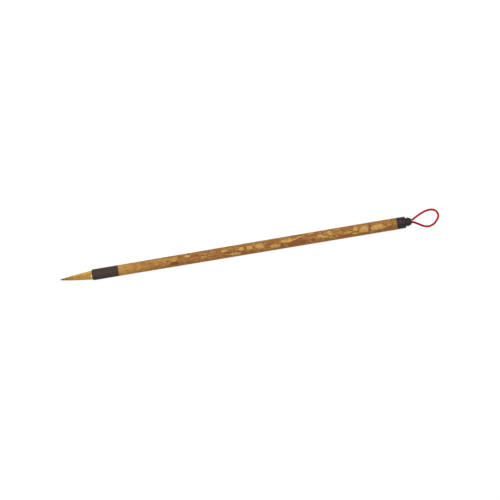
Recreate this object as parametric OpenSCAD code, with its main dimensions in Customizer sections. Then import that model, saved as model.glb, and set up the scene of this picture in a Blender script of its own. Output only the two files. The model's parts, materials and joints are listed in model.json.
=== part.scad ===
/* [Tuft] */
// Length of the hair that shows, from the ferrule's mouth to the point
hair_length = 25; // [22:0.5:30]
// Width of the tuft where it leaves the ferrule
tuft_d = 6.8; // [6.4:0.1:6.8]
// How full the point is: below 1 the sides are convex
taper_power = 0.72; // [0.6:0.02:0.9]

/* [Ferrule] */
// Length of the ferrule that shows
ferrule_length = 20; // [16:0.5:26]
// Outside diameter of the ferrule
ferrule_d = 8.3; // [8.2:0.1:8.6]
// Wall of the ferrule at its mouth
ferrule_wall = 0.75; // [0.7:0.05:0.8]

/* [Handle] */
// Length of the bamboo that shows between the ferrule and the end cap
tube_length = 211.5; // [160:0.5:240]
// Diameter of the bamboo at the ferrule
tube_d_front = 8.2; // [8:0.1:8.6]
// Diameter of the bamboo at the end cap
tube_d_rear = 8.9; // [8.8:0.1:9.4]
// Natural bore of the bamboo
tube_bore_d = 4; // [3:0.1:4.6]

/* [End cap] */
// Length of the end cap that shows
cap_length = 11; // [10.8:0.1:12]
// Diameter of the cap's collar where it meets the bamboo
collar_d = 8.8; // [8.4:0.1:8.8]
// Diameter of the bead that is turned on the cap's knob
bead_d = 6.6; // [6.4:0.1:7]

/* [Hanging cord] */
// Diameter of the cord
cord_d = 1.6; // [1.2:0.1:1.6]

/* [Hidden] */
$fn = 64;

// The brush lies along X with its point at -X, and rests on the plane z = 0.
brush_length = hair_length + ferrule_length + tube_length + cap_length;
x_tip = -brush_length / 2;
x_mouth = x_tip + hair_length;
x_tube = x_mouth + ferrule_length;
x_cap = x_tube + tube_length;
x_nose = x_cap + cap_length;
axis_z = tube_d_rear / 2;

// Tuft: the free hairs end in a ball inside a shallow hollow in the bound roots, so they can bend.
bend_s = 1.9;
x_bend = x_mouth - bend_s;
tip_r = 0.12;
core_r = 1.2;
belly_r = 2.2;
ball_gap = 0.05;
profile_steps = 16;
function hair_r(s) = max(tip_r, tuft_d / 2 * pow(max(0, 1 - s / hair_length), taper_power));
function s_where(r) = hair_length * (1 - pow(2 * r / tuft_d, 1 / taper_power));
ball_r = hair_r(bend_s);

// Roots: whipped with thread, singed and sealed, then set in resin in the ferrule's socket
socket_r = ferrule_d / 2 - ferrule_wall;
resin_t = 0.2;
root_r = socket_r - resin_t;
root_length = 8;
seal_length = 1;
socket_depth = 9.5;
thread_d = 0.3;
thread_turns = 4;
thread_pitch = 0.32;
thread_x = x_mouth + 5.6;
waist_length = 1.4;
resin_start = 0.4;

// Ferrule: rounded mouth in front, tenon into the bamboo behind
lip_length = 1.7;
lip_edge = 0.12;
lip_r = socket_r + lip_edge;
tenon_r = 2.6;
tenon_length = 8;
tenon_chamfer = 0.4;
glue_t = 0.15;
end_gap = 0.3;

// End cap: collar with two fine grooves, neck, bead, rounded nose and a hole for the cord
plug_r = 2.8;
plug_length = 6;
collar_length = 6;
collar_shoulder = 1;
shoulder_step = 0.1;
neck_r = 2.95;
neck_x = 7.4;
bead_x = 8.4;
bead_half = 0.8;
nose_x = 9.2;
nose_r = 1.95;
cord_play = 0.1;
cord_hole_r = cord_d + cord_play;
knot_room_r = 2.2;
knot_room_x = 6.5;
groove_w = 0.3;
groove_depth = 0.15;
groove_x = [4.3, 5.2];

// Cord: both ends go through the nose side by side, and are knotted behind the hole
cord_r = cord_d / 2;
strand_gap = 0.02;
strand_y = cord_r + strand_gap;
knot_turn_r = 1.15;
knot_half = 2 * cord_r;
x_knot = x_cap + knot_room_x - knot_half;
// The loop swings about this point, and the tails stop just short of the ends that turn in it.
pivot_gap = 0.05;
pivot_x = cord_r + pivot_gap;
// The loop's route from the nose and back, as [past the nose, to the side, above the plane]:
// level out of the hole, down under its own weight, and flat on the plane for its outer half
route = [[1.8, 1.35, 4.4], [3.4, 2.3, 4.15], [5.2, 3.2, 3.65], [7.2, 4.15, 2.95],
         [9.4, 5, 2.15], [11.6, 5.75, 1.5], [14, 6.2, 1], [16.4, 6.2, 0.82],
         [18.6, 5.55, 0.8], [20, 4.3, 0.8], [20.8, 2.7, 0.8], [21, 0.9, 0.8],
         [20.2, -1.1, 0.8], [18.8, -2.9, 0.8], [17, -4.5, 0.8], [14.8, -5.5, 0.95],
         [12.4, -5.9, 1.3], [10, -5.45, 1.95], [8, -4.6, 2.65], [6, -3.45, 3.35],
         [4, -2.25, 3.95], [2.2, -1.25, 4.35]];
cord_sides = 8;

// A solid of revolution about the brush's axis, from points [distance along X, radius]
module turned(outline) {
    translate([0, 0, axis_z]) rotate([0, 90, 0]) rotate_extrude() polygon([for (p = outline) [p[1], p[0]]]);
}

// A ring about the brush's axis, between two radii and two places along X
module sleeve(x0, x1, r_in, r_out) {
    turned([[x0, r_in], [x0, r_out], [x1, r_out], [x1, r_in]]);
}

// A rod along X at one side of the axis
module rod(x0, x1, r, y = 0) {
    translate([x0, y, axis_z]) rotate([0, 90, 0]) cylinder(h = x1 - x0, r = r);
}

// One layer of the tuft's free hairs, between two radii, where its outer skin is inside the tuft's own
// outline. Its rear end lies on the ball that turns in the bound roots.
module hair_layer(r_in, r_out, s_end) {
    s_start = max(0, s_where(r_out));
    skin = [for (i = [0:profile_steps])
        let (s = s_start + (s_end - s_start) * i / profile_steps) [x_mouth - s, hair_r(s)]];
    back = x_bend + ball_r + 1;
    outline = concat([[back, r_in], [back, r_out], [x_mouth - s_start, r_out]], skin,
                     r_in > 0 ? [] : [[x_mouth - s_end, 0]]);
    intersection() {
        turned(outline);
        union() {
            translate([x_bend, 0, axis_z]) sphere(r = ball_r);
            rod(x_tip - 1, x_bend, tuft_d);
        }
    }
}

module tip_hairs() {
    color("#8a6030") hair_layer(0, core_r, hair_length);
}

module belly_hairs() {
    color("#a9793c") hair_layer(core_r, belly_r, s_where(core_r));
}

module cover_hairs() {
    color("#c0904a") hair_layer(belly_r, tuft_d, s_where(belly_r));
}

module bound_roots() {
    waist_r = root_r - thread_d;
    half = waist_length / 2;
    color("#8a6030") difference() {
        turned([[x_mouth, 0], [x_mouth, root_r], [thread_x - half, root_r],
                [thread_x - half, waist_r], [thread_x + half, waist_r],
                [thread_x + half, root_r], [x_mouth + root_length, root_r],
                [x_mouth + root_length, 0]]);
        translate([x_bend, 0, axis_z]) sphere(r = ball_r + ball_gap);
    }
}

module binding_thread() {
    turn_r = root_r - thread_d / 2;
    first = thread_x - thread_pitch * (thread_turns - 1) / 2;
    color("#e8e0cc") for (i = [0:thread_turns - 1])
        translate([first + i * thread_pitch, 0, axis_z]) rotate([0, 90, 0])
            rotate_extrude() translate([turn_r, 0]) circle(d = thread_d);
}

module root_seal() {
    color("#4a2c14") rod(x_mouth + root_length, x_mouth + root_length + seal_length, root_r);
}

module tuft_glue() {
    bed = x_mouth + root_length + seal_length;
    color("#d9b25a") turned([[x_mouth + resin_start, root_r], [x_mouth + resin_start, socket_r],
                             [x_mouth + socket_depth, socket_r], [x_mouth + socket_depth, 0],
                             [bed, 0], [bed, root_r]]);
}

module ferrule() {
    outer_r = ferrule_d / 2;
    lip = [for (a = [0:10:90])
        [x_mouth + lip_length * (1 - cos(a)), lip_r + (outer_r - lip_r) * sin(a)]];
    color("#4e4138") turned(concat(
        [[x_mouth + socket_depth, 0], [x_mouth + socket_depth, socket_r], [x_mouth, socket_r]],
        lip,
        [[x_tube, outer_r], [x_tube, tenon_r], [x_tube + tenon_length - tenon_chamfer, tenon_r],
         [x_tube + tenon_length, tenon_r - tenon_chamfer], [x_tube + tenon_length, 0]]));
}

module ferrule_glue() {
    color("#b98a4a") sleeve(x_tube, x_tube + tenon_length - tenon_chamfer, tenon_r, tenon_r + glue_t);
}

module bamboo_tube() {
    socket_front = x_tube + tenon_length + end_gap;
    socket_rear = x_cap - plug_length - end_gap;
    color("#a5723a") turned([
        [x_tube, tenon_r + glue_t], [x_tube, tube_d_front / 2], [x_cap, tube_d_rear / 2],
        [x_cap, plug_r + glue_t], [socket_rear, plug_r + glue_t], [socket_rear, tube_bore_d / 2],
        [socket_front, tube_bore_d / 2], [socket_front, tenon_r + glue_t]]);
}

module cap_glue() {
    color("#b98a4a") sleeve(x_cap - plug_length, x_cap, plug_r, plug_r + glue_t);
}

module end_cap() {
    collar_r = collar_d / 2;
    shoulder_r = collar_r - shoulder_step;
    grooves = [for (g = groove_x) each [
        [x_cap + g - groove_w / 2, collar_r], [x_cap + g, collar_r - groove_depth],
        [x_cap + g + groove_w / 2, collar_r]]];
    shoulder = [for (a = [0:15:90])
        [x_cap + collar_length + collar_shoulder * sin(a), neck_r + (shoulder_r - neck_r) * cos(a)]];
    bead = [for (a = [0:20:180])
        [x_cap + bead_x - bead_half * cos(a), neck_r + (bead_d / 2 - neck_r) * sin(a)]];
    nose = [for (a = [0:15:90])
        [x_cap + nose_x + (cap_length - nose_x) * sin(a), nose_r + (neck_r - nose_r) * cos(a)]];
    color("#35302f") turned(concat(
        [[x_cap - plug_length, knot_room_r], [x_cap - plug_length, plug_r], [x_cap, plug_r],
         [x_cap, collar_r]],
        grooves, shoulder, [[x_cap + neck_x, neck_r]], bead, nose,
        [[x_nose, cord_hole_r], [x_cap + knot_room_x, cord_hole_r],
         [x_cap + knot_room_x, knot_room_r]]));
}

module cord_tails() {
    color("#b01424") for (side = [-1, 1]) rod(x_knot + knot_half, x_nose, cord_r, side * strand_y);
}

// A stopper knot, as two turns of the cord round its own ends
module cord_knot() {
    color("#b01424") {
        for (side = [-1, 1])
            translate([x_knot + side * cord_r, 0, axis_z]) rotate([0, 90, 0])
                rotate_extrude() translate([knot_turn_r, 0]) circle(r = cord_r);
        rod(x_knot - knot_half, x_knot + knot_half, knot_turn_r);
    }
}

function unit(v) = v / norm(v);

// A cord as one polyhedron: a ring of sides round each point, square to the way through it
module swept_cord(points, radii) {
    n = len(points);
    ways = [for (i = [0:n - 1]) unit(points[min(i + 1, n - 1)] - points[max(i - 1, 0)])];
    rings = [for (i = [0:n - 1])
        let (side = unit(cross(ways[i], [0, 0, 1])), up = cross(side, ways[i]))
            for (k = [0:cord_sides - 1])
                let (a = 360 * (k + 0.5) / cord_sides)
                    points[i] + radii[i] * (side * cos(a) + up * sin(a))];
    walls = [for (i = [0:n - 2], k = [0:cord_sides - 1])
        let (m = (k + 1) % cord_sides, a = i * cord_sides, b = a + cord_sides)
            [a + k, a + m, b + m, b + k]];
    first_end = [for (k = [cord_sides - 1:-1:0]) k];
    last_end = [for (k = [cord_sides:-1:1]) n * cord_sides - k];
    polyhedron(rings, concat([first_end], walls, [last_end]));
}

// The loop, with round ends that turn at the mouth of the cap's hole
module hanging_loop() {
    dome = [30, 60, 90];
    lead = [for (a = dome) [x_nose + pivot_x - cord_r * cos(a), strand_y, axis_z]];
    tail = [for (i = [2:-1:0]) [lead[i].x, -strand_y, axis_z]];
    way = [for (p = route) [x_nose + p.x, p.y, p.z]];
    radii = concat([for (a = dome) cord_r * sin(a)], [for (p = route) cord_r],
                   [for (i = [2:-1:0]) cord_r * sin(dome[i])]);
    color("#b01424") swept_cord(concat(lead, way, tail), radii);
}

tip_hairs();
belly_hairs();
cover_hairs();
bound_roots();
binding_thread();
root_seal();
tuft_glue();
ferrule();
ferrule_glue();
bamboo_tube();
cap_glue();
end_cap();
cord_tails();
cord_knot();
hanging_loop();
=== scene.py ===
"""A calligraphy brush lying flat: a pointed hair tuft in a horn ferrule, a handle of spotted bamboo,
a turned horn cap and a red cord loop. Lengths are in metres, along X from the point to the cap."""
import json
import bmesh
import bpy
import numpy as np
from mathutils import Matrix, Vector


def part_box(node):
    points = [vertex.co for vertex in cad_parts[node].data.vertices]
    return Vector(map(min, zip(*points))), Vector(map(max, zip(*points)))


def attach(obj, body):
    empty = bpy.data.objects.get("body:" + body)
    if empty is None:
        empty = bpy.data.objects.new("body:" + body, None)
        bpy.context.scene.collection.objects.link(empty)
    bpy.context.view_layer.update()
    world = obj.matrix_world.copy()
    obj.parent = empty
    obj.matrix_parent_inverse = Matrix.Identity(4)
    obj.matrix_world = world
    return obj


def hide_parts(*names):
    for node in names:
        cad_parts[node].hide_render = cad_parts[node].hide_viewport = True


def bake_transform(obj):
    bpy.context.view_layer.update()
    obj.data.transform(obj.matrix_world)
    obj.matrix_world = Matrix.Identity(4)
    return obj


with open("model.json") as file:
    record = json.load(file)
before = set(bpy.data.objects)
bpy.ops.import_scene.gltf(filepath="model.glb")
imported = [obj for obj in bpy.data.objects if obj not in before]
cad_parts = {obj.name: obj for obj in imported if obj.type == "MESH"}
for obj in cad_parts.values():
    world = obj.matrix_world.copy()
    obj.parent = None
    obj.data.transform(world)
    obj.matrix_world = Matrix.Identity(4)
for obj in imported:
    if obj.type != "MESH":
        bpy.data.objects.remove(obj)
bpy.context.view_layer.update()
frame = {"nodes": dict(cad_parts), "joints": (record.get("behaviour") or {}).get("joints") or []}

# ---- Core hairs ----------------------------------------------------------------------------------
# The stiffest and longest hairs, a slim bundle in the middle of the tuft that makes its fine point.
# Natural brown hair, combed parallel and laid root to root, so its uncut tips taper by themselves.
mm = 0.001
x_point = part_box("tip_hairs")[0].x
x_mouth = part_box("ferrule")[0].x
axis_z = (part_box("bamboo_tube")[0].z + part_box("bamboo_tube")[1].z) / 2
hair_length = x_mouth - x_point
tuft_r = 3.4 * mm
tuft_fullness = 0.72
point_r = 0.07 * mm
core_r = 1.2 * mm
lock_count = 22
lock_pull = 0.45
hair_rows = 11
bundle_sides = 48
mass_tone = 0.3
comb_aside = 0.3 * mm


def outline(s):
    """Radius of the tuft at s ahead of the ferrule's mouth: its radius at the mouth times a power of the
    part of the length still ahead, which makes the sides slightly convex."""
    ahead = np.clip(1 - s / hair_length, 0, 1)
    return np.maximum(point_r, tuft_r * ahead ** tuft_fullness)


def reach_of(r):
    """Distance ahead of the mouth at which the tuft's radius has fallen to r, from the same power."""
    return hair_length * (1 - (r / tuft_r) ** (1 / tuft_fullness))


def about_axis(x, r, angle):
    """Points at x along the brush, r from its axis and an angle from the top towards +Y."""
    return np.stack(np.broadcast_arrays(x, r * np.sin(angle), axis_z + r * np.cos(angle)), -1)


def combed(points):
    """The tuft is combed a little to one side: points move towards +Y by a power of how far ahead they
    are, up to comb_aside at the point."""
    ahead = np.clip((x_mouth - points[..., 0]) / hair_length, 0, 1)
    return points + np.stack([0 * ahead, comb_aside * ahead ** 1.3, 0 * ahead], -1)


def turned(profile, sides):
    """A surface of revolution: each point (x, r) of the profile carried round the brush's axis."""
    angle = np.linspace(0, 2 * np.pi, sides, endpoint=False)
    return about_axis(profile[:, :1], profile[:, 1:], angle)


def make_piece(name, grids, material, joined=False, sharp=35, **marks):
    """One mesh from grids of points [..., row, place round the ring]. Neighbouring rings are joined by
    quads, the end rings are closed flat or, if joined, to each other, and faces are turned outwards.
    Each mark is a list with one array for each grid and becomes a number on the points."""
    points, faces, start = [], [], 0
    for grid in grids:
        rings = grid.reshape((-1,) + grid.shape[-3:])
        at = start + np.arange(rings[..., 0].size).reshape(rings.shape[:3])
        here, there = (at, np.roll(at, -1, 1)) if joined else (at[:, :-1], at[:, 1:])
        quads = np.stack([here, there, np.roll(there, -1, 2), np.roll(here, -1, 2)], -1)
        faces += quads.reshape(-1, 4).tolist()
        if not joined:
            faces += at[:, 0].tolist() + at[:, -1].tolist()
        points.append(rings.reshape(-1, 3))
        start += at.size
    mesh = bpy.data.meshes.new(name)
    mesh.from_pydata(np.concatenate(points).tolist(), [], faces)
    for mark, values in marks.items():
        spread = [np.broadcast_to(v, g.shape[:-1]).ravel() for v, g in zip(values, grids)]
        mesh.attributes.new(mark, "FLOAT", "POINT").data.foreach_set("value", np.concatenate(spread))
    shell = bmesh.new()
    shell.from_mesh(mesh)
    bmesh.ops.recalc_face_normals(shell, faces=shell.faces)
    shell.to_mesh(mesh)
    shell.free()
    mesh.shade_smooth()
    mesh.set_sharp_from_angle(angle=np.radians(sharp))
    mesh.materials.append(material)
    piece = bpy.data.objects.new(name, mesh)
    bpy.context.scene.collection.objects.link(piece)
    return piece


def strands(rng, number, first, ends, depths, width):
    """Hairs as three-sided tapering rods that lie just under the tuft's outline. Each starts at its own
    angle and is drawn towards the nearest of a few locks as it runs forward, by a square law, with a
    slight wave. Its width falls by the cube of the way along, to three tenths at the tip."""
    root_angle = 2 * np.pi * (np.arange(number) + rng.random(number)) / number
    end = rng.uniform(*ends, number)
    depth = rng.uniform(*depths, number)
    way = np.linspace(0, 1, hair_rows)
    s = first + (end[:, None] - first) * way
    lock_step = 2 * np.pi / lock_count
    pull = (np.round(root_angle / lock_step) * lock_step - root_angle)[:, None] * lock_pull * way ** 2
    wave = 0.03 * np.sin(9 * way + rng.uniform(0, 2 * np.pi, (number, 1)))
    angle = root_angle[:, None] + pull + wave
    half = width / 2 * (1 - 0.7 * way ** 3)
    middle = np.maximum(outline(s) - np.minimum(depth[:, None], 0.6 * outline(s)) - half, 0.02 * mm)
    corner = np.radians([0, 120, 240])
    out = middle[..., None] + half[:, None] * np.cos(corner)
    aside = half[:, None] * np.sin(corner)
    y = out * np.sin(angle)[..., None] + aside * np.cos(angle)[..., None]
    z = out * np.cos(angle)[..., None] - aside * np.sin(angle)[..., None]
    x = np.broadcast_to((x_mouth - s)[..., None], y.shape)
    return combed(np.stack([x, y, axis_z + z], -1)), s[..., None] / hair_length


def tone_and_painted_shade_of(rng, points):
    """A tone for each hair: 0.3, plus up to 0.4 at random, plus a quarter of how far it lies towards +Y
    as a part of the tuft's radius, so hairs on the -Y side, away from the lamp, are a little darker; that
    part is painted shade."""
    return 0.3 + 0.4 * rng.random((len(points), 1, 1)) + 0.25 * points[..., 1] / tuft_r


def linear(code):
    """A colour written as sRGB hex, turned to the linear numbers that a shader takes."""
    part = np.array([int(code[i:i + 2], 16) for i in (0, 2, 4)]) / 255
    part = np.where(part <= 0.04045, part / 12.92, ((part + 0.055) / 1.055) ** 2.4)
    return (*part.tolist(), 1.0)


def add(material, kind, inputs={}, stops=(), **settings):
    """Adds a node to a material. An input is a value, or another node's output to link; stops are the
    places and colours of a ramp."""
    new = material.node_tree.nodes.new("ShaderNode" + kind)
    for key, value in settings.items():
        setattr(new, key, value)
    for key, value in inputs.items():
        if isinstance(value, bpy.types.NodeSocket):
            material.node_tree.links.new(value, new.inputs[key])
        else:
            new.inputs[key].default_value = value
    for i, (place, colour) in enumerate(stops):
        stop = new.color_ramp.elements[0] if i == 0 else new.color_ramp.elements.new(place)
        stop.position, stop.color = place, linear(colour)
    if stops:
        new.color_ramp.elements.remove(new.color_ramp.elements[-1])
    return new


def new_material(name):
    """An empty node material with only its output left, and that output."""
    material = bpy.data.materials.new(name)
    material.use_nodes = True
    material.node_tree.nodes.clear()
    return material, add(material, "OutputMaterial")


def hair_material(name, dark, middle, light, tip):
    """Natural hair, combed and pointed: fine parallel hairs of slightly different browns, with a soft
    sheen along them. The marks give each hair its own tone, which holds painted shade on the -Y side
    of the tuft, and how far ahead of the mouth it is."""
    material, output = new_material(name)
    tone = add(material, "Attribute", attribute_name="tone")
    place = add(material, "TexCoord").outputs["Object"]
    # Combing leaves broad soft streaks, about 1 mm wide and 10 mm long.
    stretched = add(material, "Mapping", {"Vector": place, "Scale": (100, 900, 900)})
    streak = add(material, "TexNoise", {"Vector": stretched.outputs[0], "Scale": 1.0, "Detail": 2.0})
    mixed = add(material, "Math", {0: tone.outputs["Fac"], 1: streak.outputs["Fac"]}, operation="ADD")
    halved = add(material, "Math", {0: mixed.outputs[0], 1: 0.5}, operation="MULTIPLY")
    body = add(material, "ValToRGB", {"Fac": halved.outputs[0]},
               [(0.22, dark), (0.5, middle), (0.78, light)])
    ahead = add(material, "Attribute", attribute_name="ahead")
    pointed = add(material, "MapRange", {"Value": ahead.outputs["Fac"], "From Min": 0.78, "From Max": 0.98})
    colour = add(material, "MixRGB", {"Fac": pointed.outputs[0], "Color1": body.outputs["Color"],
                                      "Color2": linear(tip)})
    shader = add(material, "BsdfPrincipled",
                 {"Base Color": colour.outputs[0], "Roughness": 0.6, "IOR": 1.55,
                  "Specular IOR Level": 0.15})
    material.node_tree.links.new(shader.outputs[0], output.inputs["Surface"])
    return material


def hair_bundle(r_in, r_out, s_end, steps=26):
    """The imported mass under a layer's outer hairs, from the mouth to s_end: a profile that follows the
    outline a little below it, no wider than the layer. A layer round another one is a sleeve, with rings
    as close inside as outside, so that both walls bend alike."""
    s = np.linspace(0.05 * mm, s_end, steps)
    under = outline(s) - np.minimum(0.1 * mm, 0.3 * outline(s))
    outer = np.stack([x_mouth - s, np.minimum(r_out, under)], -1)
    if r_in == 0:
        return combed(turned(outer, bundle_sides))
    inner = np.stack([x_mouth - s[::-1], np.full(steps, r_in)], -1)
    return combed(turned(np.concatenate([outer, inner]), bundle_sides))


rng = np.random.default_rng(11)
core_mass = hair_bundle(0, core_r - 0.02 * mm, hair_length - 0.4 * mm)
core_strands, core_ahead = strands(rng, 220, 14.5 * mm, (21 * mm, hair_length), (0, 0.16 * mm), 0.12 * mm)
core_hair = hair_material("weasel hair, combed to a point", "8A6030", "AC7C3C", "C8924A", "5E3E28")
tip_hairs = make_piece("core_strands", [core_mass, core_strands], core_hair, sharp=80,
                       tone=[mass_tone, tone_and_painted_shade_of(rng, core_strands)], ahead=[0.8, core_ahead])
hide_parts("tip_hairs")
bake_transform(tip_hairs)

# ---- Lining hairs --------------------------------------------------------------------------------
# Softer hairs laid round the core, which give the tuft its belly and hold the ink. Their tips come
# out from under the cover and end short of the point, so the tuft narrows without a step.
belly_r = 2.2 * mm
belly_mass = hair_bundle(core_r, belly_r - 0.02 * mm, reach_of(core_r + 0.13 * mm))
belly_strands, belly_ahead = strands(rng, 400, 7 * mm, (14 * mm, 22 * mm), (0, 0.16 * mm), 0.13 * mm)
belly_hair = hair_material("goat hair, tan", "A0803A", "C49C4A", "D8B25C", "6E4C2E")
belly_hairs = make_piece("lining_strands", [belly_strands], belly_hair, sharp=80,
                         tone=[tone_and_painted_shade_of(rng, belly_strands)], ahead=[belly_ahead])
belly_core = make_piece("lining_mass", [belly_mass], belly_hair, joined=True, sharp=80,
                        tone=[mass_tone], ahead=[0.3])
for piece in (belly_hairs, belly_core):
    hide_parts("belly_hairs")
    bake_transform(piece)

# ---- Cover hairs ---------------------------------------------------------------------------------
# The outer wrap of golden brown hairs, combed down over the lining and held in the ferrule's mouth.
# Each hair is a real rod on the tuft's surface, drawn a little thicker than life so that it shows.
cover_mass = hair_bundle(belly_r, tuft_r, reach_of(belly_r + 0.13 * mm))
cover_strands, cover_ahead = strands(rng, 620, -0.36 * mm, (8 * mm, 17 * mm), (0, 0.16 * mm), 0.14 * mm)
cover_hair = hair_material("weasel hair, golden", "A8863E", "CDA24E", "E2BE66", "7A5632")
cover_hairs = make_piece("cover_strands", [cover_strands], cover_hair, sharp=80,
                         tone=[tone_and_painted_shade_of(rng, cover_strands)], ahead=[cover_ahead])
cover_core = make_piece("cover_mass", [cover_mass], cover_hair, joined=True, sharp=80,
                        tone=[mass_tone], ahead=[0.2])
for piece in (cover_hairs, cover_core):
    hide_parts("cover_hairs")
    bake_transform(piece)

# ---- Bound and potted roots ----------------------------------------------------------------------
# The root end of the bundle, whipped with linen thread, singed and dipped in rosin, and set in resin
# in the ferrule's socket. They are inside the ferrule, so the frame's own solids only take a finish.


def finish_node(name, kind, colours, roughness, scale, stretch=(1, 1, 1), bump=0.2, **sockets):
    """A finish for one of the frame's own solids: a noise at a real size, between two or more colours,
    which also raises the surface a little."""
    material, output = new_material(kind)
    place = add(material, "TexCoord").outputs["Object"]
    mapped = add(material, "Mapping", {"Vector": place, "Scale": stretch})
    noise = add(material, "TexNoise", {"Vector": mapped.outputs[0], "Scale": 1 / scale, "Detail": 3.0})
    steps = np.linspace(0.3, 0.7, len(colours)).tolist()
    ramp = add(material, "ValToRGB", {"Fac": noise.outputs["Fac"]}, list(zip(steps, colours)))
    raised = add(material, "Bump", {"Height": noise.outputs["Fac"], "Strength": bump, "Distance": 0.1 * mm})
    shader = add(material, "BsdfPrincipled", {"Base Color": ramp.outputs["Color"], "Roughness": roughness,
                                              "Normal": raised.outputs[0], **sockets})
    material.node_tree.links.new(shader.outputs[0], output.inputs["Surface"])
    for slot in frame["nodes"][name].material_slots:
        slot.material = material


# Hair set in resin shows as fine parallel lines, 0.15 mm apart and 3 mm long.
finish_node("bound_roots", "hair bound in resin", ["5E3E1E", "7D5529", "94693A"], 0.35, 0.15 * mm,
            stretch=(0.05, 1, 1))
# Linen thread is laid from fibres, which give it a dull, slightly furry surface.
finish_node("binding_thread", "linen thread, undyed", ["CFC6AC", "E6DEC8"], 0.85, 0.06 * mm, bump=0.4)
# Rosin singed on the hairs sets as a brittle, glassy brown crust.
finish_node("root_seal", "rosin, singed", ["24140A", "4A2C14", "5F3A1A"], 0.2, 0.5 * mm, IOR=1.54)
# Cast resin is clear amber, with a smooth surface where it filled the socket.
finish_node("tuft_glue", "resin, cast", ["B98A3E", "D9B25A"], 0.12, 0.9 * mm, IOR=1.52, bump=0.05)

# ---- Ferrule -------------------------------------------------------------------------------------
# A socket turned from dark buffalo horn, with a rounded mouth round the hairs and a tenon glued into
# the bamboo. Sanded along its length and waxed, so it is satin, with faint long fibres.
x_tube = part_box("bamboo_tube")[0].x
ferrule_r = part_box("ferrule")[1].z - axis_z
socket_r = 3.4 * mm
socket_depth = 9.5 * mm
lip_r = 3.52 * mm
lip_length = 1.7 * mm
tenon_r = 2.6 * mm
x_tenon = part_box("ferrule")[1].x
# The horn between the socket and the tenon's end is solid in the design. Here its surface closes round a
# hidden hole on the axis, 0.6 mm across, because every profile is carried round as a closed ring.
axis_hole_r = 0.3 * mm
x_solid = x_mouth + 12 * mm


def eased(corners, ease, steps=5):
    """A closed outline with its corners rounded off: each corner becomes a quadratic curve from the point
    that lies its ease before it to the point that lies its ease after it."""
    here = np.array(corners, float)
    ease = np.broadcast_to(ease, len(here))[:, None]
    before, after = np.roll(here, 1, 0) - here, np.roll(here, -1, 0) - here
    first = here + before / np.linalg.norm(before, axis=1)[:, None] * ease
    last = here + after / np.linalg.norm(after, axis=1)[:, None] * ease
    t = np.linspace(0, 1, steps)[:, None, None]
    return ((1 - t) ** 2 * first + 2 * t * (1 - t) * here + t ** 2 * last).swapaxes(0, 1).reshape(-1, 2)


def arc(x, r, half_x, half_r, first, last, steps=14):
    """Points (x, r) on an ellipse about a middle, from one angle to another in degrees."""
    a = np.radians(np.linspace(first, last, steps))
    return np.stack([x + half_x * np.cos(a), r + half_r * np.sin(a)], -1)


ferrule_rear = eased([(x_tube, ferrule_r), (x_tube, tenon_r), (x_tenon, tenon_r), (x_tenon, axis_hole_r),
                      (x_solid, axis_hole_r), (x_mouth + socket_depth, axis_hole_r),
                      (x_mouth + socket_depth, socket_r), (x_mouth, socket_r)],
                     np.array([0.12, 0.05, 0.35, 0.05, 0.05, 0.05, 0.1, 0.03]) * mm)
ferrule_lip = arc(x_mouth + lip_length, lip_r, lip_length, ferrule_r - lip_r, 180, 90)
ferrule_skin = np.stack([np.linspace(x_mouth + lip_length + 0.5 * mm, x_tube - 0.4 * mm, 40),
                         np.full(40, ferrule_r)], -1)
ferrule_profile = np.concatenate([ferrule_lip, ferrule_skin, ferrule_rear])

horn, output = new_material("buffalo horn, turned and waxed")
place = add(horn, "TexCoord").outputs["Object"]
# Horn grows in long fibres: streaks about 0.7 mm across and 17 mm long, grey-brown on near black.
along = add(horn, "Mapping", {"Vector": place, "Scale": (60, 1500, 1500)})
fibre = add(horn, "TexNoise", {"Vector": along.outputs[0], "Scale": 1.0, "Detail": 3.0, "Roughness": 0.6})
streaked = add(horn, "ValToRGB", {"Fac": fibre.outputs["Fac"]},
               [(0.3, "2E2620"), (0.5, "44372D"), (0.72, "5E4C3C")])
# Softer clouds, about 4 mm, where the horn is paler or greyer inside.
clouds = add(horn, "TexNoise", {"Vector": place, "Scale": 250.0, "Detail": 2.0})
cloudy = add(horn, "MixRGB", {"Fac": clouds.outputs["Fac"], "Color1": streaked.outputs["Color"],
                              "Color2": linear("403630")})
# The last 1.5 mm next to the bamboo is stained reddish by varnish that crept over the joint.
across = add(horn, "SeparateXYZ", {"Vector": place})
rear = add(horn, "MapRange", {"Value": across.outputs["X"], "From Min": x_tube - 1.5 * mm,
                              "From Max": x_tube - 0.7 * mm})
stained = add(horn, "MixRGB", {"Fac": rear.outputs[0], "Color1": cloudy.outputs[0],
                               "Color2": linear("52331F")})
# Sanding scratches run lengthwise, 0.05 mm wide in life and drawn 0.15 mm wide so that they show.
scratch_place = add(horn, "Mapping", {"Vector": place, "Scale": (150, 7000, 7000)})
scratch = add(horn, "TexNoise", {"Vector": scratch_place.outputs[0], "Scale": 1.0, "Detail": 2.0})
worn = add(horn, "MapRange", {"Value": scratch.outputs["Fac"], "To Min": 0.45, "To Max": 0.65})
raised = add(horn, "Bump", {"Height": scratch.outputs["Fac"], "Strength": 0.15, "Distance": 0.03 * mm})
shader = add(horn, "BsdfPrincipled", {"Base Color": stained.outputs[0], "Roughness": worn.outputs[0],
                                      "IOR": 1.54, "Specular IOR Level": 0.15, "Normal": raised.outputs[0]})
horn.node_tree.links.new(shader.outputs[0], output.inputs["Surface"])

ferrule = make_piece("horn_ferrule", [turned(ferrule_profile, 96)], horn, joined=True)
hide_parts("ferrule")
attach(ferrule, "handle")
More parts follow.
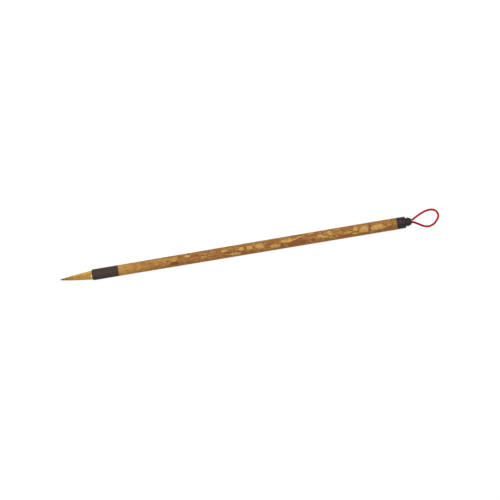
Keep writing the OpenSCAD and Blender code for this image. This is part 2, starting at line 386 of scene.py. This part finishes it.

# ---- Whitish fleck at the mouth ------------------------------------------------------------------
# A small whitish lump on the hairs near the top of the mouth. It is low, about 1.4 mm across, a little to
# the -Y side, and stays when the hairs bend.
fleck_r = 0.7 * mm
fleck_s = 0.55 * mm
fleck_y = -0.7 * mm
fleck_height, fleck_sunk = 0.22 * mm, 0.06 * mm
turn = np.linspace(0, 2 * np.pi, 20, endpoint=False)
rise = np.radians(np.linspace(2, 178, 12))[:, None]
lump = 1 + 0.14 * np.sin(3 * turn + 1) + 0.08 * np.sin(5 * turn)
fleck_z = axis_z + np.sqrt(tuft_r ** 2 - fleck_y ** 2) - fleck_sunk
fleck_points = np.stack([x_mouth - fleck_s + fleck_r * 0.9 * lump * np.sin(rise) * np.cos(turn),
                         fleck_y + fleck_r * lump * np.sin(rise) * np.sin(turn),
                         fleck_z + fleck_height * np.cos(rise) + 0 * turn], -1)
whitish, output = new_material("whitish fleck, cloudy")
place = add(whitish, "TexCoord").outputs["Object"]
# A noise of 0.2 mm makes the lump cloudy.
cloud_noise = add(whitish, "TexNoise", {"Vector": place, "Scale": 5000.0, "Detail": 2.0})
cloudy = add(whitish, "ValToRGB", {"Fac": cloud_noise.outputs["Fac"]}, [(0.35, "D8CDB4"), (0.65, "F2ECDD")])
shader = add(whitish, "BsdfPrincipled", {"Base Color": cloudy.outputs["Color"], "Roughness": 0.3,
                                         "IOR": 1.5, "Subsurface Weight": 0.2,
                                         "Subsurface Radius": (0.4 * mm, 0.3 * mm, 0.2 * mm)})
whitish.node_tree.links.new(shader.outputs[0], output.inputs["Surface"])
fleck = make_piece("white_fleck", [fleck_points], whitish, sharp=80)
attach(fleck, "handle")

# ---- Handle --------------------------------------------------------------------------------------
# One stretch of thin spotted bamboo between two joints of the cane, smoke-cured, scraped and rubbed
# with wax. It thickens slightly to the rear, and its bore is opened at both ends for the glued parts.
x_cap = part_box("bamboo_tube")[1].x
front_r = 4.1 * mm
rear_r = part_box("bamboo_tube")[1].z - axis_z
bore_r = 2.0 * mm
front_seat_r, front_seat = 2.75 * mm, 8.3 * mm
rear_seat_r, rear_seat = 2.95 * mm, 6.3 * mm
skin_rows, skin_sides = 530, 88
end_bevel = 0.06 * mm
vein_half_length, vein_half_width, vein_strength = 0.6, 0.35, 0.8

skin_x = np.linspace(x_tube + 0.15 * mm, x_cap - 0.15 * mm, skin_rows)
skin_r = np.interp(skin_x, [x_tube, x_cap], [front_r, rear_r])
ends = [(x_cap, rear_r - end_bevel), (x_cap, rear_seat_r), (x_cap - rear_seat, rear_seat_r),
        (x_cap - rear_seat, bore_r), (x_tube + front_seat, bore_r),
        (x_tube + front_seat, front_seat_r), (x_tube, front_seat_r), (x_tube, front_r - end_bevel)]
tube_profile = np.concatenate([np.stack([skin_x, skin_r], -1), np.array(ends)])
tube_angle = np.linspace(-np.pi, np.pi, skin_sides, endpoint=False)
is_skin = np.r_[np.ones(skin_rows), np.zeros(len(ends))][:, None]
spot_along = (tube_profile[:, :1] - x_tube) / mm
spot_r = np.maximum(tube_profile[:, 1:], front_r) / mm

# The cane's larger markings, as ovals on the top of the handle: millimetres from the ferrule, across
# towards +Y, half length, half width, and strength. The finer ones are all made in the material.
pale_spots = [
    (4, 0, 8, 7, 0.55), (10, 0.8, 4, 2.4, 0.4), (31, 2.4, 13, 1.9, 0.5),
    (27.5, 1.7, 1.8, 1.5, 0.5), (35, 0.8, 2.2, 1, 0.5),
    (42, 1.6, 4.4, 1.9, 0.55), (52.8, 2.2, 1.9, 1.1, 1), (64.5, -0.8, 2.6, 1.2, 0.6),
    (80.7, 1.3, 2.5, 1, 0.9), (88.5, -2.1, 4.6, 1.3, 0.9), (93.3, 0.75, 2, 1.5, 1),
    (99.8, 0.6, 2.2, 1.8, 1), (107.2, 0.5, 3.2, 1.95, 1), (119, -1.5, 3.7, 1.5, 1),
    (128.2, 1.35, 3.9, 1.8, 1), (134, 1.4, 2.6, 0.8, 0.8), (138, 2.2, 2.4, 0.8, 0.8),
    (146.5, 3.4, 2.6, 0.8, 0.9), (153, 0.2, 2.1, 1.5, 0.9), (156, -0.75, 2.7, 0.9, 0.8),
    (160.5, 1.7, 2.2, 1.6, 1), (163, -2, 4, 0.9, 0.6), (168, 0.5, 3, 1.5, 0.45),
    (174.5, -0.4, 3.7, 0.7, 0.8), (180.2, 1.6, 1.9, 1.7, 0.9), (179.5, -2, 2.7, 0.8, 0.8),
    (186.7, 0, 3.9, 2.3, 1), (197, -0.2, 4.8, 2.2, 1)]
dark_spots = [
    (42.5, -1.8, 3.6, 1.3, 0.8), (82.5, -0.4, 3.6, 0.5, 0.9), (124, -1.5, 1.1, 1.6, 0.8),
    (135, 3.6, 5, 0.6, 0.8), (136.5, -1.6, 7.5, 1.9, 0.3), (96.5, 0.5, 0.8, 1.8, 0.6),
    (148, -1.5, 1.6, 0.9, 0.7), (187, -3.4, 4, 0.6, 0.7)]
ruddy_spots = [
    (22.5, -3.6, 2.6, 0.8, 0.9), (22.5, 2.2, 2, 1.1, 0.6), (58.5, 1.5, 3.6, 1.1, 1),
    (114.5, 0.75, 3.8, 1, 1), (136.5, -1.6, 8, 2.2, 0.9), (146.5, 3.4, 2.8, 0.9, 0.6),
    (146.5, 1.8, 3.6, 0.9, 0.7), (172, -2.6, 4.2, 1.1, 0.9), (174.5, 2.5, 2.5, 0.9, 0.6),
    (205.5, -2.3, 4.8, 1, 0.9)]
olive_spots = [
    (7, 1.1, 1.5, 1, 0.7), (12, 3.2, 2.2, 1, 0.7), (26.5, -2, 1.7, 0.9, 0.9),
    (47, 2.3, 1.4, 1.1, 0.9), (115.5, 2.6, 2.8, 0.9, 0.9), (163, -2, 4, 1, 0.6),
    (209.8, 2.2, 1.7, 1.3, 0.9)]
# Dark veins between the markings, as the points that each one runs through, in the same millimetres.
veins = [
    [(80, -0.7), (86, -0.6), (91, -1.3), (97, -2.4)],
    [(124.5, -0.4), (128, -1.1), (132, -0.6), (136, 0.5), (140, 1.5)],
    [(190.5, 3), (191.5, 1.5), (189.8, -0.7), (191.5, -1.9)]]


def spotted(spots, by_angle=False):
    """Strength of a set of oval spots at each point of the handle: the strongest of the ovals, each full
    inside and falling by a smooth step across its edge, which three sine waves round it make uneven.
    Across is measured round the skin, or is an angle from the top."""
    along, across, half_along, half_across, strength = np.array(spots).T[:, :, None, None]
    angle = across if by_angle else np.arcsin(across / spot_r)
    aside = ((tube_angle - angle + np.pi) % (2 * np.pi) - np.pi) * spot_r / half_across
    ahead = (spot_along - along) / half_along
    round_it = np.arctan2(aside, ahead)
    waves = ((2, 0.1), (3, 0.07), (5, 0.05))
    uneven = sum(size * np.sin(n * (round_it + along)) for n, size in waves)
    edge = np.clip((1.45 - np.hypot(ahead, aside) * (1 + uneven)) / 0.85, 0, 1)
    return (strength * edge * edge * (3 - 2 * edge)).max(0)


def far_side(number, longest, widest):
    """Ovals scattered at random over the side of the handle that faces down, with across as an angle."""
    return np.stack([rng.uniform(2, 209, number), rng.uniform(1.35, 2 * np.pi - 1.35, number),
                     rng.uniform(0.8, longest, number), rng.uniform(0.5, widest, number),
                     rng.uniform(0.5, 1, number)], -1)


def vein_ovals(vein):
    """A vein as a chain of small ovals that overlap, spread evenly between its points."""
    place = np.linspace(0, len(vein) - 1, 12 * len(vein))
    points = np.array(vein)
    each = [np.interp(place, np.arange(len(vein)), points[:, k]) for k in (0, 1)]
    sizes = [np.full(len(place), size) for size in (vein_half_length, vein_half_width, vein_strength)]
    return np.stack([*each, *sizes], -1)


pale = np.maximum(spotted(pale_spots), spotted(far_side(60, 4.5, 2.2), True))
dark = np.maximum(spotted(dark_spots), spotted(far_side(60, 2.5, 1.2), True))
dark = np.maximum(dark, spotted(np.concatenate([vein_ovals(v) for v in veins])))
ruddy = np.maximum(spotted(ruddy_spots), spotted(far_side(40, 5, 1.5), True))
olive = np.maximum(spotted(olive_spots), spotted(far_side(30, 3, 1.5), True))

bamboo, output = new_material("spotted bamboo, scraped and waxed")
place = add(bamboo, "TexCoord").outputs["Object"]
# The ground tone drifts over about 6 mm along the cane, and less across it.
drift_place = add(bamboo, "Mapping", {"Vector": place, "Scale": (170, 380, 380)})
drift = add(bamboo, "TexNoise", {"Vector": drift_place.outputs[0], "Scale": 1.0, "Detail": 3.0})
ground = add(bamboo, "ValToRGB", {"Fac": drift.outputs["Fac"]},
             [(0.34, "8C5226"), (0.5, "AE793B"), (0.66, "CC9C58")])
# Patches of 2 to 3 mm lean to yellow or to red.
hue_place = add(bamboo, "Mapping", {"Vector": place, "Location": (0.3, 0.1, 0.2), "Scale": (330, 560, 560)})
hue = add(bamboo, "TexNoise", {"Vector": hue_place.outputs[0], "Scale": 1.0, "Detail": 3.0,
                               "Roughness": 0.6, "Distortion": 0.8})
leaning = add(bamboo, "ValToRGB", {"Fac": hue.outputs["Fac"]},
              [(0.38, "A05634"), (0.53, "B07C3E"), (0.64, "BA9644")])
toned = add(bamboo, "MixRGB", {"Fac": 0.5, "Color1": ground.outputs["Color"],
                               "Color2": leaning.outputs["Color"]})
# Mottling of 1 to 2 mm breaks up the edges of the markings.
mottle_place = add(bamboo, "Mapping", {"Vector": place, "Scale": (600, 900, 900)})
mottle = add(bamboo, "TexNoise", {"Vector": mottle_place.outputs[0], "Scale": 1.0, "Detail": 4.0,
                                  "Roughness": 0.6, "Distortion": 0.6})
centred = add(bamboo, "Math", {0: mottle.outputs["Fac"], 1: -0.5}, operation="ADD")
colour = toned.outputs[0]
# Reddish and olive markings, with edges that the mottling frays.
for mark, tint in (("ruddy", "9A5832"), ("olive", "9A7424")):
    value = add(bamboo, "Attribute", attribute_name=mark)
    uneven = add(bamboo, "Math", {0: centred.outputs[0], 1: 0.9, 2: value.outputs["Fac"]},
                 operation="MULTIPLY_ADD")
    amount = add(bamboo, "MapRange", {"Value": uneven.outputs[0], "From Min": 0.1, "From Max": 0.9,
                                      "To Max": 0.9}, interpolation_type="SMOOTHSTEP")
    colour = add(bamboo, "MixRGB", {"Fac": amount.outputs[0], "Color1": colour,
                                    "Color2": linear(tint)}).outputs[0]
# Pale spots with a brown rim, as fungus leaves on the living cane.
value = add(bamboo, "Attribute", attribute_name="pale")
uneven = add(bamboo, "Math", {0: centred.outputs[0], 1: 0.6, 2: value.outputs["Fac"]},
             operation="MULTIPLY_ADD")
rim = add(bamboo, "ValToRGB", {"Fac": uneven.outputs[0]},
          [(0.08, "000000"), (0.24, "BBBBBB"), (0.4, "000000")])
colour = add(bamboo, "MixRGB", {"Fac": rim.outputs["Color"], "Color1": colour,
                                "Color2": linear("6E4220")}).outputs[0]
redness = add(bamboo, "Attribute", attribute_name="ruddy")
pale_tint = add(bamboo, "MixRGB", {"Fac": redness.outputs["Fac"], "Color1": linear("CA9E54"),
                                   "Color2": linear("CC9260")})
covered = add(bamboo, "MapRange", {"Value": uneven.outputs[0], "From Min": 0.3, "From Max": 0.75},
              interpolation_type="SMOOTHSTEP")
colour = add(bamboo, "MixRGB", {"Fac": covered.outputs[0], "Color1": colour,
                                "Color2": pale_tint.outputs[0]}).outputs[0]
# Dark brown markings and veins, frayed in the same way.
value = add(bamboo, "Attribute", attribute_name="dark")
uneven = add(bamboo, "Math", {0: centred.outputs[0], 1: 0.9, 2: value.outputs["Fac"]},
             operation="MULTIPLY_ADD")
amount = add(bamboo, "MapRange", {"Value": uneven.outputs[0], "From Min": 0.2, "From Max": 0.95,
                                  "To Max": 0.85}, interpolation_type="SMOOTHSTEP")
colour = add(bamboo, "MixRGB", {"Fac": amount.outputs[0], "Color1": colour,
                                "Color2": linear("6C4220")}).outputs[0]
# A net of fine brown lines, with meshes about 3 mm by 2 mm, shows through where the skin is thin.
bent = add(bamboo, "VectorMath", {0: mottle.outputs["Color"], 1: (0.0016,) * 3}, operation="MULTIPLY")
shifted = add(bamboo, "VectorMath", {0: place, 1: bent.outputs[0]}, operation="ADD")
net_place = add(bamboo, "Mapping", {"Vector": shifted.outputs[0], "Scale": (300, 480, 480)})
net = add(bamboo, "TexVoronoi", {"Vector": net_place.outputs[0], "Scale": 1.0}, feature="DISTANCE_TO_EDGE")
line = add(bamboo, "MapRange", {"Value": net.outputs["Distance"], "From Min": 0.0, "From Max": 0.16,
                                "To Min": 0.8, "To Max": 0.0}, interpolation_type="SMOOTHSTEP")
seen = add(bamboo, "MapRange", {"Value": drift.outputs["Fac"], "From Min": 0.4, "From Max": 0.55})
netted = add(bamboo, "Math", {0: line.outputs[0], 1: seen.outputs[0]}, operation="MULTIPLY")
# The first 12 mm behind the ferrule are almost plain. The lines come in over the next 26 mm.
length_place = add(bamboo, "SeparateXYZ", {"Vector": place})
lined = add(bamboo, "MapRange", {"Value": length_place.outputs["X"], "From Min": x_tube + 12 * mm,
                                 "From Max": x_tube + 38 * mm})
netted = add(bamboo, "Math", {0: netted.outputs[0], 1: lined.outputs[0]}, operation="MULTIPLY")
# They are fainter on the pale spots.
kept = add(bamboo, "MapRange", {"Value": covered.outputs[0], "To Min": 1.0, "To Max": 0.35})
netted = add(bamboo, "Math", {0: netted.outputs[0], 1: kept.outputs[0]}, operation="MULTIPLY")
colour = add(bamboo, "MixRGB", {"Fac": netted.outputs[0], "Color1": colour,
                                "Color2": linear("6E4420")}).outputs[0]
# Fine oblique streaks, 0.6 mm wide and 3 mm long, cross the fibres. They come in over 8 mm.
oblique_place = add(bamboo, "Mapping", {"Vector": place, "Rotation": (0, 0, -0.6),
                                        "Scale": (3 * mm, 0.6 * mm, 0.6 * mm)}, vector_type="TEXTURE")
oblique = add(bamboo, "TexNoise", {"Vector": oblique_place.outputs[0], "Scale": 1.0, "Detail": 2.0})
dim = add(bamboo, "MapRange", {"Value": oblique.outputs["Fac"], "From Min": 0.52, "From Max": 0.7,
                               "To Max": 0.5})
marked = add(bamboo, "MapRange", {"Value": length_place.outputs["X"], "From Min": x_tube + 12 * mm,
                                  "From Max": x_tube + 20 * mm})
dimmed = add(bamboo, "Math", {0: dim.outputs[0], 1: marked.outputs[0]}, operation="MULTIPLY")
colour = add(bamboo, "MixRGB", {"Fac": dimmed.outputs[0], "Color1": colour,
                                "Color2": linear("7A5228")}).outputs[0]
# That front part is calmer altogether: an even tan covers most of its patches.
calm = add(bamboo, "MapRange", {"Value": lined.outputs[0], "To Min": 0.55, "To Max": 0.0})
colour = add(bamboo, "MixRGB", {"Fac": calm.outputs[0], "Color1": colour,
                                "Color2": linear("B4803E")}).outputs[0]
# Fibre bundles under the skin, about 0.25 mm apart, run the whole length as faint fine lines.
grain_place = add(bamboo, "Mapping", {"Vector": place, "Scale": (90, 4000, 4000)})
grain = add(bamboo, "TexNoise", {"Vector": grain_place.outputs[0], "Scale": 1.0, "Detail": 2.0})
grained = add(bamboo, "MapRange", {"Value": grain.outputs["Fac"], "From Min": 0.3, "From Max": 0.7,
                                   "To Min": 0.9, "To Max": 1.08})
mottled = add(bamboo, "MapRange", {"Value": mottle.outputs["Fac"], "From Min": 0.3, "From Max": 0.7,
                                   "To Min": 0.78, "To Max": 1.22})
fine = add(bamboo, "Math", {0: grained.outputs[0], 1: mottled.outputs[0]}, operation="MULTIPLY")
colour = add(bamboo, "VectorMath", {0: colour, "Scale": fine.outputs[0]}, operation="SCALE").outputs[0]
# Cut ends and bore are bare straw-coloured wood.
value = add(bamboo, "Attribute", attribute_name="skin")
colour = add(bamboo, "MixRGB", {"Fac": value.outputs["Fac"], "Color1": linear("C8A56C"),
                                "Color2": colour}).outputs[0]
raised = add(bamboo, "Bump", {"Height": grain.outputs["Fac"], "Strength": 0.12, "Distance": 0.03 * mm})
shader = add(bamboo, "BsdfPrincipled", {"Base Color": colour, "Roughness": 0.6, "IOR": 1.5,
                                        "Specular IOR Level": 0.15,
                                        "Normal": raised.outputs[0]})
bamboo.node_tree.links.new(shader.outputs[0], output.inputs["Surface"])

tube_points = about_axis(tube_profile[:, :1], tube_profile[:, 1:], tube_angle)
tube = make_piece("bamboo_handle", [tube_points], bamboo, joined=True, pale=[pale], dark=[dark],
                  ruddy=[ruddy], olive=[olive], skin=[is_skin])
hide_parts("bamboo_tube")
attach(tube, "handle")

# ---- Glue films ----------------------------------------------------------------------------------
# Hide glue between the ferrule's tenon and the bamboo, and between the cap's plug and the bamboo.
# It is inside the joints, amber and slightly rough where it soaked into the wood.
finish_node("ferrule_glue", "hide glue, dried", ["8E6430", "B98A4A"], 0.35, 0.6 * mm, IOR=1.5)
finish_node("cap_glue", "hide glue, dried in the rear joint", ["8E6430", "B98A4A"], 0.35, 0.6 * mm, IOR=1.5)

# ---- End cap -------------------------------------------------------------------------------------
# A knob turned from black buffalo horn: collar with fine grooves, neck, bead and rounded nose, drilled
# for the cord. Its plug is glued into the bamboo. Polished on the lathe, so it is almost glossy.
x_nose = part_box("end_cap")[1].x
collar_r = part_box("end_cap")[1].z - axis_z
plug_r, plug_length = 2.8 * mm, 6 * mm
neck_r, bead_r = 2.95 * mm, 3.3 * mm
shoulder_r = 4.3 * mm
nose_r, hole_r, room_r = 1.95 * mm, 1.7 * mm, 2.2 * mm
groove_depth, groove_half = 0.16 * mm, 0.17 * mm
groove_places = np.array([4.3, 5.2]) * mm
edge_r = 0.12 * mm
x_shoulder, x_waist = x_cap + 6 * mm, x_cap + 7.3 * mm
x_bead, x_dome = x_cap + 8.4 * mm, x_cap + 9.2 * mm
x_room = x_cap + 6.5 * mm

collar_x = np.linspace(x_cap + 0.3 * mm, x_cap + 5.85 * mm, 90)
dips = np.clip(1 - ((collar_x - x_cap - groove_places[:, None]) / groove_half) ** 2, 0, 1).sum(0)
cap_profile = np.concatenate([
    arc(x_cap + edge_r, collar_r - edge_r, edge_r, edge_r, 180, 90, 6),
    np.stack([collar_x, collar_r - groove_depth * dips], -1),
    arc(x_shoulder, neck_r, 1 * mm, shoulder_r - neck_r, 90, 4),
    arc(x_waist, neck_r + 0.1 * mm, 0.22 * mm, 0.1 * mm, 250, 300, 5),
    arc(x_bead, neck_r, 0.85 * mm, bead_r - neck_r, 172, 8, 18),
    arc(x_dome, nose_r, x_nose - x_dome, neck_r - nose_r, 90, 10, 18),
    arc(x_nose - edge_r, hole_r + edge_r, edge_r, edge_r, 0, -90, 6),
    eased([(x_room, hole_r), (x_room, room_r), (x_cap - plug_length, room_r),
           (x_cap - plug_length, plug_r), (x_cap, plug_r)], 0.04 * mm)])

black_horn, output = new_material("black buffalo horn, polished")
place = add(black_horn, "TexCoord").outputs["Object"]
# Long faint fibres, 0.9 mm across, bluish and brown by turns.
along = add(black_horn, "Mapping", {"Vector": place, "Scale": (220, 1100, 1100)})
fibre = add(black_horn, "TexNoise", {"Vector": along.outputs[0], "Scale": 1.0, "Detail": 3.0})
streaked = add(black_horn, "ValToRGB", {"Fac": fibre.outputs["Fac"]},
               [(0.32, "2A2326"), (0.5, "342B2D"), (0.7, "443835")])
# Polishing rings left by the lathe, drawn 0.1 mm apart so that they show.
scratch_place = add(black_horn, "Mapping", {"Vector": place, "Scale": (9000, 300, 300)})
scratch = add(black_horn, "TexNoise", {"Vector": scratch_place.outputs[0], "Scale": 1.0, "Detail": 2.0})
worn = add(black_horn, "MapRange", {"Value": scratch.outputs["Fac"], "To Min": 0.35, "To Max": 0.5})
raised = add(black_horn, "Bump", {"Height": scratch.outputs["Fac"], "Strength": 0.1, "Distance": 0.02 * mm})
shader = add(black_horn, "BsdfPrincipled", {"Base Color": streaked.outputs["Color"],
                                            "Roughness": worn.outputs[0], "IOR": 1.54,
                                            "Specular IOR Level": 0.1, "Normal": raised.outputs[0]})
black_horn.node_tree.links.new(shader.outputs[0], output.inputs["Surface"])

cap = make_piece("horn_cap", [turned(cap_profile, 96)], black_horn, joined=True, sharp=28)
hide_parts("end_cap")
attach(cap, "handle")

# ---- Stopper knot --------------------------------------------------------------------------------
# The two ends of the cord are tied in one overhand knot in the hollow of the cap, too big for the
# hole. Three-ply cotton cord, twisted, dyed red and waxed.
cord_d = 1.6 * mm
cord_r = cord_d / 2
strand_y = cord_r + 0.02 * mm
x_knot = (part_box("cord_knot")[0].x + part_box("cord_knot")[1].x) / 2
ply_pitch = 4.2 * mm
cord_sides = 27
shallowest = 0.96


def corded(path, closed=False):
    """A three-ply cord along a path: a ring square to the way at each point, whose radius is that of three
    round plies side by side, but never less than the shallowest part of the cord's own, turned steadily
    with the distance along. Also gives how deep each point lies in the grooves between the plies, as a
    part of the deepest, and the distance along."""
    step = np.roll(path, -1, 0) - np.roll(path, 1, 0)
    if not closed:
        step[0], step[-1] = path[1] - path[0], path[-1] - path[-2]
    way = step / np.linalg.norm(step, axis=1)[:, None]
    gaps = np.linalg.norm(np.diff(path, axis=0), axis=1)
    distance = np.concatenate([[0], np.cumsum(gaps)])
    lift = np.array([0.0, 0.0, 1.0])
    side = np.cross(lift, way)
    side /= np.linalg.norm(side, axis=1)[:, None]
    up = np.cross(way, side)
    angle = np.linspace(0, 2 * np.pi, cord_sides, endpoint=False)
    turns = distance / ply_pitch
    if closed:
        turns = np.round(distance[-1] / ply_pitch) * (np.arange(len(path)) / len(path))
    ply = np.pi / 3 - np.abs((angle - 2 * np.pi * turns[:, None]) % (2 * np.pi / 3) - np.pi / 3)
    centre, ply_r = 0.5 * cord_r, 0.5 * cord_r
    lobe = centre * np.cos(ply) + np.sqrt(np.maximum(ply_r ** 2 - (centre * np.sin(ply)) ** 2, 0))
    r = np.maximum(lobe, shallowest * cord_r)[..., None]
    outwards = side[:, None] * np.cos(angle)[:, None] + up[:, None] * np.sin(angle)[:, None]
    return path[:, None] + r * outwards, 1 - (r[..., 0] / cord_r - shallowest) / (1 - shallowest), distance


cotton, output = new_material("cotton cord, twisted and dyed red")
place = add(cotton, "TexCoord").outputs["Object"]
along = add(cotton, "Attribute", attribute_name="along")
# The dye took unevenly: the tone changes about every 7 mm of cord.
dye = add(cotton, "TexNoise", {"W": along.outputs["Fac"], "Scale": 150.0, "Detail": 2.0},
          noise_dimensions="1D")
dyed = add(cotton, "ValToRGB", {"Fac": dye.outputs["Fac"]},
           [(0.3, "AA060E"), (0.5, "C60812"), (0.68, "E0121C")])
# Fibres 0.02 mm thick in life, drawn as lint 0.08 mm wide.
fibres = add(cotton, "TexNoise", {"Vector": place, "Scale": 12000.0, "Detail": 2.0})
lint = add(cotton, "MapRange", {"Value": fibres.outputs["Fac"], "From Min": 0.3, "From Max": 0.7,
                                "To Min": 0.8, "To Max": 1.15})
coloured = add(cotton, "VectorMath", {0: dyed.outputs["Color"], "Scale": lint.outputs[0]},
               operation="SCALE")
# The grooves between the plies are painted darker: painted shade where the plies meet.
groove = add(cotton, "Attribute", attribute_name="groove")
groove_shade = add(cotton, "MapRange", {"Value": groove.outputs["Fac"], "From Min": 0.4, "To Max": 0.35})
shaded = add(cotton, "MixRGB", {"Fac": groove_shade.outputs[0], "Color1": coloured.outputs[0],
                                "Color2": linear("7A060C")})
# The cord is darker next to the cap: over its first 5 mm and its last 9 mm, fading out over a few
# millimetres more, and a little on the knot.
grime = add(cotton, "Attribute", attribute_name="grime")
darkened_near_cap = add(cotton, "MixRGB", {"Fac": grime.outputs["Fac"], "Color1": shaded.outputs[0],
                                 "Color2": linear("5C1A14")})
raised = add(cotton, "Bump", {"Height": fibres.outputs["Fac"], "Strength": 0.4, "Distance": 0.04 * mm})
shader = add(cotton, "BsdfPrincipled", {"Base Color": darkened_near_cap.outputs[0], "Roughness": 0.65, "IOR": 1.5,
                                        "Specular IOR Level": 0.1,
                                        "Normal": raised.outputs[0]})
cotton.node_tree.links.new(shader.outputs[0], output.inputs["Surface"])

# An overhand knot pulled round: a path that goes twice about the axis and three times in and out.
u = np.linspace(0, 2 * np.pi, 120, endpoint=False)
knot_path = about_axis(x_knot + 0.75 * mm * np.sin(3 * u), (0.95 + 0.4 * np.cos(3 * u)) * mm, 2 * u)
knot_points, knot_groove, knot_along = corded(knot_path, closed=True)
knot = make_piece("stopper_knot", [knot_points], cotton, joined=True, sharp=80, groove=[knot_groove],
                  along=[0.08 + knot_along[:, None]], grime=[0.2])
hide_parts("cord_knot")
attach(knot, "handle")

# ---- Hanging loop --------------------------------------------------------------------------------
# One short length of the same cord. It leaves the hole in the cap's nose, droops to the surface, turns
# back and goes in again beside its own start. Both ends are held by the knot in the cap.
x_knot_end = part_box("cord_knot")[1].x
x_swing = next(j["pos_m"][0] for j in frame["joints"] if j["name"] == "loop_swing")
# The route from the nose and back, as millimetres past the nose, to the side, and above the plane.
route = [(1.8, 1.35, 4.4), (3.4, 2.3, 4.15), (5.2, 3.2, 3.65), (7.2, 4.15, 2.95), (9.4, 5, 2.15),
         (11.6, 5.75, 1.5), (14, 6.2, 1), (16.4, 6.2, 0.82), (18.6, 5.55, 0.8), (20, 4.3, 0.8),
         (20.8, 2.7, 0.8), (21, 0.9, 0.8), (20.2, -1.1, 0.8), (18.8, -2.9, 0.8), (17, -4.5, 0.8),
         (14.8, -5.5, 0.95), (12.4, -5.9, 1.3), (10, -5.45, 1.95), (8, -4.6, 2.65), (6, -3.45, 3.35),
         (4, -2.25, 3.95), (2.2, -1.25, 4.35)]
lead = np.array([(x, strand_y, axis_z) for x in (x_knot_end, (x_knot_end + x_nose) / 2, x_nose, x_swing)])
stops = np.concatenate([lead, np.array(route) * mm + [x_nose, 0, 0], lead[::-1] * [1, -1, 1]])


def smooth_way(stops, spacing):
    """A smooth curve through points: on each stretch a cubic that starts and ends along the chord between
    the neighbouring points (Catmull-Rom), read off again at even distances."""
    padded = np.concatenate([2 * stops[:1] - stops[1:2], stops, 2 * stops[-1:] - stops[-2:-1]])
    a, b, c, d = padded[:-3, None], padded[1:-2, None], padded[2:-1, None], padded[3:, None]
    t = np.linspace(0, 1, 24, endpoint=False)[:, None]
    cubic = (b + t * (c - a) / 2 + t ** 2 * (a - 2.5 * b + 2 * c - d / 2)
             + t ** 3 * (1.5 * (b - c) + (d - a) / 2))
    dense = np.concatenate([cubic.reshape(-1, 3), stops[-1:]])
    distance = np.concatenate([[0], np.cumsum(np.linalg.norm(np.diff(dense, axis=0), axis=1))])
    even = np.linspace(0, distance[-1], int(distance[-1] / spacing) + 1)
    return np.stack([np.interp(even, distance, dense[:, k]) for k in range(3)], -1)


cord_path = smooth_way(stops, 0.2 * mm)
cord_points, cord_groove, cord_along = corded(cord_path)
back = cord_along[-1] - cord_along
# How much darker the cord is next to the cap, at both ends of the loop.
near_start = np.clip(1 - (cord_along - 5 * mm) / (3 * mm), 0, 1)
near_end = np.clip(1 - (back - 9 * mm) / (5 * mm), 0, 1)
grime = near_start * 0.6 + near_end * 0.75
cord = make_piece("hanging_cord", [cord_points], cotton, sharp=80, groove=[cord_groove],
                  along=[cord_along[:, None]], grime=[grime[:, None]])
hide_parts("hanging_loop", "cord_tails")
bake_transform(cord)

# ---- Table, light and camera ---------------------------------------------------------------------
# A sheet of white acrylic lit from below, so that the brush hardly casts a shadow, one large soft lamp
# above and a little to the far side, and an even white room. The camera looks straight down.
table_half = 4.0
table_gap = 0.02 * mm
lamp_y, lamp_z = 0.38, 1.42
aslant = -9.567
acrylic, output = new_material("white acrylic, lit from below")
shader = add(acrylic, "BsdfPrincipled", {"Base Color": linear("6E6E6E"), "Roughness": 0.8,
                                         "Specular IOR Level": 0.0, "Emission Color": (1, 1, 1, 1),
                                         "Emission Strength": 0.9})
acrylic.node_tree.links.new(shader.outputs[0], output.inputs["Surface"])
sheet = bpy.data.meshes.new("table")
corners = [(-table_half, -table_half, 0), (table_half, -table_half, 0), (table_half, table_half, 0),
           (-table_half, table_half, 0)]
sheet.from_pydata(corners, [], [(0, 1, 2, 3)])
sheet.materials.append(acrylic)
table = bpy.data.objects.new("table", sheet)
table.location.z = -table_gap
bpy.context.scene.collection.objects.link(table)

world = bpy.data.worlds.new("room")
bpy.context.scene.world = world
world.use_nodes = True
world.node_tree.nodes["Background"].inputs["Color"].default_value = (1, 1, 1, 1)
world.node_tree.nodes["Background"].inputs["Strength"].default_value = 0.2
lamp_data = bpy.data.lights.new("soft_lamp", "AREA")
lamp_data.shape, lamp_data.size, lamp_data.energy = "SQUARE", 1.6, 25.0
lamp = bpy.data.objects.new("soft_lamp", lamp_data)
lamp.location = (0.0, lamp_y, lamp_z)
lamp.rotation_euler = (-np.arctan2(lamp_y, lamp_z), 0, 0)
lamp.visible_camera = False
bpy.context.scene.collection.objects.link(lamp)
bpy.context.scene.view_settings.view_transform = "Standard"

camera_data = bpy.data.cameras.new("camera")
camera_data.lens, camera_data.sensor_width = 200, 36
field_width = 0.375
camera = bpy.data.objects.new("camera", camera_data)
camera.location = (11 * mm, -1.2 * mm, axis_z + field_width * camera_data.lens / camera_data.sensor_width)
camera.rotation_euler = (0, 0, np.radians(aslant))
bpy.context.scene.collection.objects.link(camera)
bpy.context.scene.camera = camera
